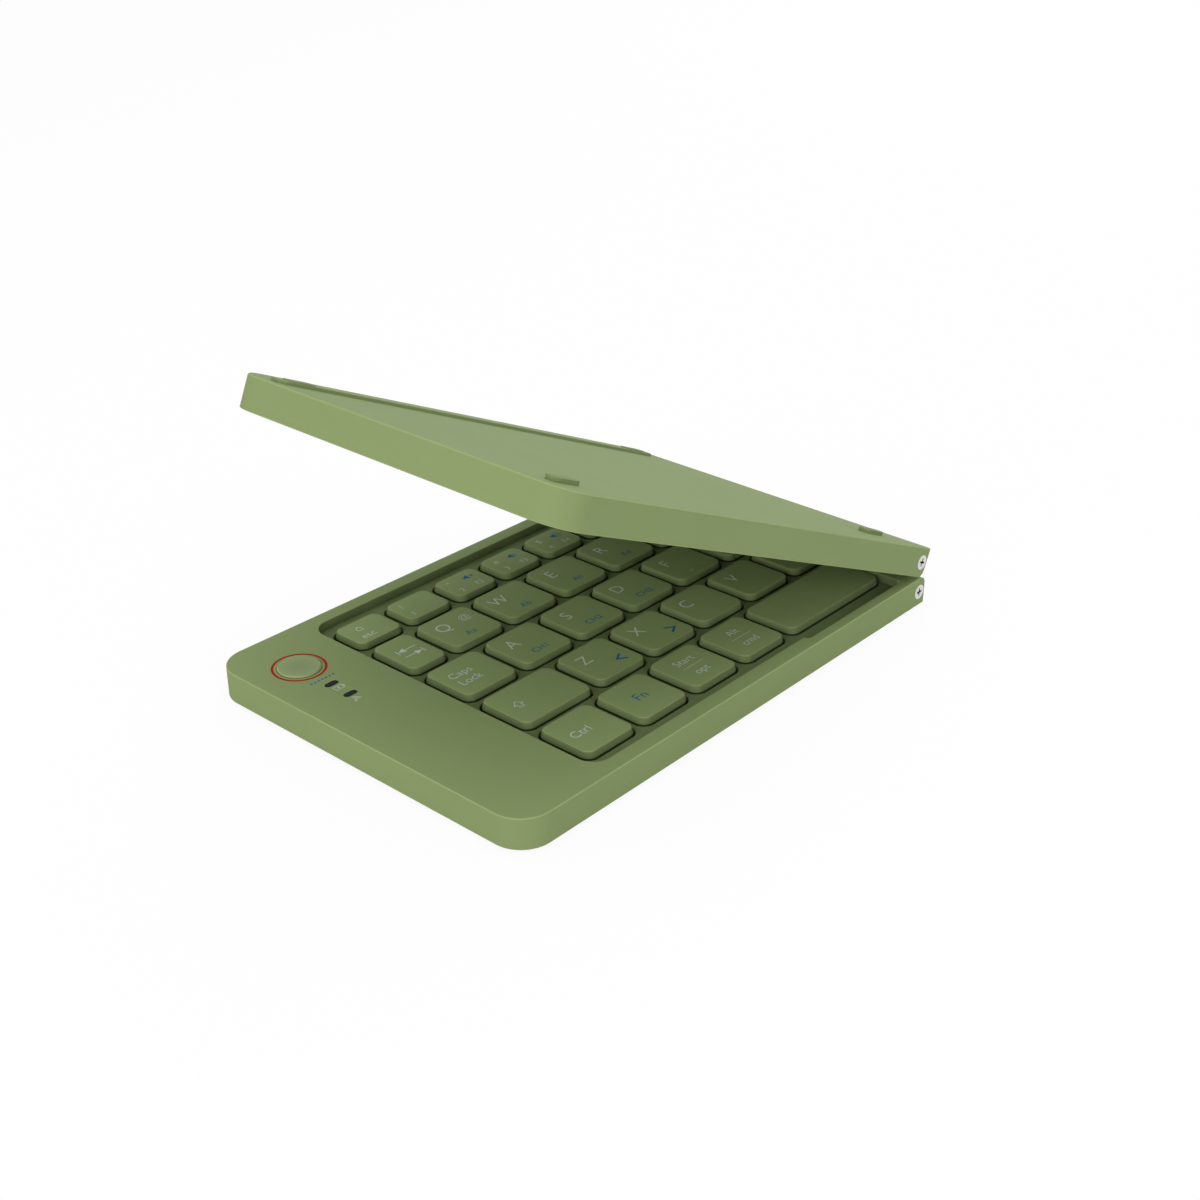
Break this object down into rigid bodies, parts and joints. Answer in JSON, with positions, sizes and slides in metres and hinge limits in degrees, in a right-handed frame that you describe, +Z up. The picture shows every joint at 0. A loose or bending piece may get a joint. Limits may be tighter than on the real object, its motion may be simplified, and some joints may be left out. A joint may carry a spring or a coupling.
{
  "type": "folding keyboard",
  "caption": "Pocket wireless keyboard that folds in half like a book, shown partly open, with sprung low keys.",
  "frame": {"origin": "middle of the whole part's length and depth in the modelled pose, on the surface it stands on", "axes": "+X from the free ends to the hinge end, +Y from the space bar side to the number row side, +Z up"},
  "size_m": [0.1414, 0.094, 0.0725],
  "materials": {
    "green_plastic": "satin, fine grain",
    "key_plastic": "matte, fine grain",
    "plate_steel": "rolled",
    "black_rubber": "matte",
    "lever_plastic": "moulded",
    "board": "solder mask",
    "battery_foil": "satin foil",
    "socket_steel": "bright",
    "ring_red": "satin",
    "window_black": "smoked, glossy",
    "foot_rubber": "matte",
    "screw_chrome": "bright",
    "ribbon": "polyimide film"
  },
  "bodies": {
    "base": {"base_cover": "green_plastic", "base_frame": "green_plastic", "base_key_plate": "plate_steel", "base_dome_mat": "black_rubber", "base_scissors": "lever_plastic", "circuit_board": "board", "battery": "battery_foil", "charging_socket": "socket_steel", "button_ring": "ring_red", "status_windows": "window_black", "base_foot_bar": "green_plastic", "base_feet": "foot_rubber", "base_pivot_screws": "screw_chrome"},
    "link": {"hinge_link": "green_plastic", "ribbon_cable": "ribbon"},
    "lid": {"lid_cover": "green_plastic", "lid_frame": "green_plastic", "lid_key_plate": "plate_steel", "lid_dome_mat": "black_rubber", "lid_scissors": "lever_plastic", "lid_foot_bar": "green_plastic", "lid_feet": "foot_rubber", "lid_pivot_screws": "screw_chrome"},
    "button": {"connect_button": "green_plastic"},
    "key_esc": {"key_esc": "key_plastic"},
    "key_1": {"key_1": "key_plastic"},
    "key_2": {"key_2": "key_plastic"},
    "key_3": {"key_3": "key_plastic"},
    "key_4": {"key_4": "key_plastic"},
    "key_5": {"key_5": "key_plastic"},
    "key_6": {"key_6": "key_plastic"},
    "key_tab": {"key_tab": "key_plastic"},
    "key_q": {"key_q": "key_plastic"},
    "key_w": {"key_w": "key_plastic"},
    "key_e": {"key_e": "key_plastic"},
    "key_r": {"key_r": "key_plastic"},
    "key_t": {"key_t": "key_plastic"},
    "key_caps_lock": {"key_caps_lock": "key_plastic"},
    "key_a": {"key_a": "key_plastic"},
    "key_s": {"key_s": "key_plastic"},
    "key_d": {"key_d": "key_plastic"},
    "key_f": {"key_f": "key_plastic"},
    "key_g": {"key_g": "key_plastic"},
    "key_left_shift": {"key_left_shift": "key_plastic"},
    "key_z": {"key_z": "key_plastic"},
    "key_x": {"key_x": "key_plastic"},
    "key_c": {"key_c": "key_plastic"},
    "key_v": {"key_v": "key_plastic"},
    "key_b": {"key_b": "key_plastic"},
    "key_ctrl": {"key_ctrl": "key_plastic"},
    "key_fn": {"key_fn": "key_plastic"},
    "key_option": {"key_option": "key_plastic"},
    "key_alt": {"key_alt": "key_plastic"},
    "key_left_space": {"key_left_space": "key_plastic"},
    "lid_keys_numbers": {"lid_keys_numbers": "key_plastic"},
    "lid_keys_upper": {"lid_keys_upper": "key_plastic"},
    "lid_keys_home": {"lid_keys_home": "key_plastic"},
    "lid_keys_lower": {"lid_keys_lower": "key_plastic"},
    "lid_keys_bottom": {"lid_keys_bottom": "key_plastic"}
  },
  "joints": [
    {"name": "base_hinge", "type": "hinge", "parent": "base", "child": "link", "pos_m": [0.06723, 0, 0.0046], "axis": [0, 1, 0], "range_deg": [0, 90]},
    {"name": "lid_hinge", "type": "hinge", "parent": "link", "child": "lid", "pos_m": [0.06723, 0, 0.0125], "axis": [0, 1, 0], "range_deg": [-24.3, 65.7]},
    {"name": "button_press", "type": "slide", "parent": "base", "child": "button", "axis": [0, 0, -1], "range_m": [0, 0.0004], "stiffness_N_per_m": 900, "springref_m": -0.0004},
    {"name": "press_esc", "type": "slide", "parent": "base", "child": "key_esc", "axis": [0, 0, -1], "range_m": [0, 0.0013], "stiffness_N_per_m": 300, "springref_m": -0.0006},
    {"name": "press_1", "type": "slide", "parent": "base", "child": "key_1", "axis": [0, 0, -1], "range_m": [0, 0.0013], "stiffness_N_per_m": 300, "springref_m": -0.0006},
    {"name": "press_2", "type": "slide", "parent": "base", "child": "key_2", "axis": [0, 0, -1], "range_m": [0, 0.0013], "stiffness_N_per_m": 300, "springref_m": -0.0006},
    {"name": "press_3", "type": "slide", "parent": "base", "child": "key_3", "axis": [0, 0, -1], "range_m": [0, 0.0013], "stiffness_N_per_m": 300, "springref_m": -0.0006},
    {"name": "press_4", "type": "slide", "parent": "base", "child": "key_4", "axis": [0, 0, -1], "range_m": [0, 0.0013], "stiffness_N_per_m": 300, "springref_m": -0.0006},
    {"name": "press_5", "type": "slide", "parent": "base", "child": "key_5", "axis": [0, 0, -1], "range_m": [0, 0.0013], "stiffness_N_per_m": 300, "springref_m": -0.0006},
    {"name": "press_6", "type": "slide", "parent": "base", "child": "key_6", "axis": [0, 0, -1], "range_m": [0, 0.0013], "stiffness_N_per_m": 300, "springref_m": -0.0006},
    {"name": "press_tab", "type": "slide", "parent": "base", "child": "key_tab", "axis": [0, 0, -1], "range_m": [0, 0.0013], "stiffness_N_per_m": 300, "springref_m": -0.0006},
    {"name": "press_q", "type": "slide", "parent": "base", "child": "key_q", "axis": [0, 0, -1], "range_m": [0, 0.0013], "stiffness_N_per_m": 300, "springref_m": -0.0006},
    {"name": "press_w", "type": "slide", "parent": "base", "child": "key_w", "axis": [0, 0, -1], "range_m": [0, 0.0013], "stiffness_N_per_m": 300, "springref_m": -0.0006},
    {"name": "press_e", "type": "slide", "parent": "base", "child": "key_e", "axis": [0, 0, -1], "range_m": [0, 0.0013], "stiffness_N_per_m": 300, "springref_m": -0.0006},
    {"name": "press_r", "type": "slide", "parent": "base", "child": "key_r", "axis": [0, 0, -1], "range_m": [0, 0.0013], "stiffness_N_per_m": 300, "springref_m": -0.0006},
    {"name": "press_t", "type": "slide", "parent": "base", "child": "key_t", "axis": [0, 0, -1], "range_m": [0, 0.0013], "stiffness_N_per_m": 300, "springref_m": -0.0006},
    {"name": "press_caps_lock", "type": "slide", "parent": "base", "child": "key_caps_lock", "axis": [0, 0, -1], "range_m": [0, 0.0013], "stiffness_N_per_m": 300, "springref_m": -0.0006},
    {"name": "press_a", "type": "slide", "parent": "base", "child": "key_a", "axis": [0, 0, -1], "range_m": [0, 0.0013], "stiffness_N_per_m": 300, "springref_m": -0.0006},
    {"name": "press_s", "type": "slide", "parent": "base", "child": "key_s", "axis": [0, 0, -1], "range_m": [0, 0.0013], "stiffness_N_per_m": 300, "springref_m": -0.0006},
    {"name": "press_d", "type": "slide", "parent": "base", "child": "key_d", "axis": [0, 0, -1], "range_m": [0, 0.0013], "stiffness_N_per_m": 300, "springref_m": -0.0006},
    {"name": "press_f", "type": "slide", "parent": "base", "child": "key_f", "axis": [0, 0, -1], "range_m": [0, 0.0013], "stiffness_N_per_m": 300, "springref_m": -0.0006},
    {"name": "press_g", "type": "slide", "parent": "base", "child": "key_g", "axis": [0, 0, -1], "range_m": [0, 0.0013], "stiffness_N_per_m": 300, "springref_m": -0.0006},
    {"name": "press_left_shift", "type": "slide", "parent": "base", "child": "key_left_shift", "axis": [0, 0, -1], "range_m": [0, 0.0013], "stiffness_N_per_m": 300, "springref_m": -0.0006},
    {"name": "press_z", "type": "slide", "parent": "base", "child": "key_z", "axis": [0, 0, -1], "range_m": [0, 0.0013], "stiffness_N_per_m": 300, "springref_m": -0.0006},
    {"name": "press_x", "type": "slide", "parent": "base", "child": "key_x", "axis": [0, 0, -1], "range_m": [0, 0.0013], "stiffness_N_per_m": 300, "springref_m": -0.0006},
    {"name": "press_c", "type": "slide", "parent": "base", "child": "key_c", "axis": [0, 0, -1], "range_m": [0, 0.0013], "stiffness_N_per_m": 300, "springref_m": -0.0006},
    {"name": "press_v", "type": "slide", "parent": "base", "child": "key_v", "axis": [0, 0, -1], "range_m": [0, 0.0013], "stiffness_N_per_m": 300, "springref_m": -0.0006},
    {"name": "press_b", "type": "slide", "parent": "base", "child": "key_b", "axis": [0, 0, -1], "range_m": [0, 0.0013], "stiffness_N_per_m": 300, "springref_m": -0.0006},
    {"name": "press_ctrl", "type": "slide", "parent": "base", "child": "key_ctrl", "axis": [0, 0, -1], "range_m": [0, 0.0013], "stiffness_N_per_m": 300, "springref_m": -0.0006},
    {"name": "press_fn", "type": "slide", "parent": "base", "child": "key_fn", "axis": [0, 0, -1], "range_m": [0, 0.0013], "stiffness_N_per_m": 300, "springref_m": -0.0006},
    {"name": "press_option", "type": "slide", "parent": "base", "child": "key_option", "axis": [0, 0, -1], "range_m": [0, 0.0013], "stiffness_N_per_m": 300, "springref_m": -0.0006},
    {"name": "press_alt", "type": "slide", "parent": "base", "child": "key_alt", "axis": [0, 0, -1], "range_m": [0, 0.0013], "stiffness_N_per_m": 300, "springref_m": -0.0006},
    {"name": "press_left_space", "type": "slide", "parent": "base", "child": "key_left_space", "axis": [0, 0, -1], "range_m": [0, 0.0013], "stiffness_N_per_m": 300, "springref_m": -0.0006},
    {"name": "press_lid_numbers", "type": "slide", "parent": "lid", "child": "lid_keys_numbers", "axis": [0.4115, 0, 0.9114], "range_m": [0, 0.0013], "stiffness_N_per_m": 300, "springref_m": -0.0006},
    {"name": "press_lid_upper", "type": "slide", "parent": "lid", "child": "lid_keys_upper", "axis": [0.4115, 0, 0.9114], "range_m": [0, 0.0013], "stiffness_N_per_m": 300, "springref_m": -0.0006},
    {"name": "press_lid_home", "type": "slide", "parent": "lid", "child": "lid_keys_home", "axis": [0.4115, 0, 0.9114], "range_m": [0, 0.0013], "stiffness_N_per_m": 300, "springref_m": -0.0006},
    {"name": "press_lid_lower", "type": "slide", "parent": "lid", "child": "lid_keys_lower", "axis": [0.4115, 0, 0.9114], "range_m": [0, 0.0013], "stiffness_N_per_m": 300, "springref_m": -0.0006},
    {"name": "press_lid_bottom", "type": "slide", "parent": "lid", "child": "lid_keys_bottom", "axis": [0.4115, 0, 0.9114], "range_m": [0, 0.0013], "stiffness_N_per_m": 300, "springref_m": -0.0006}
  ]
}
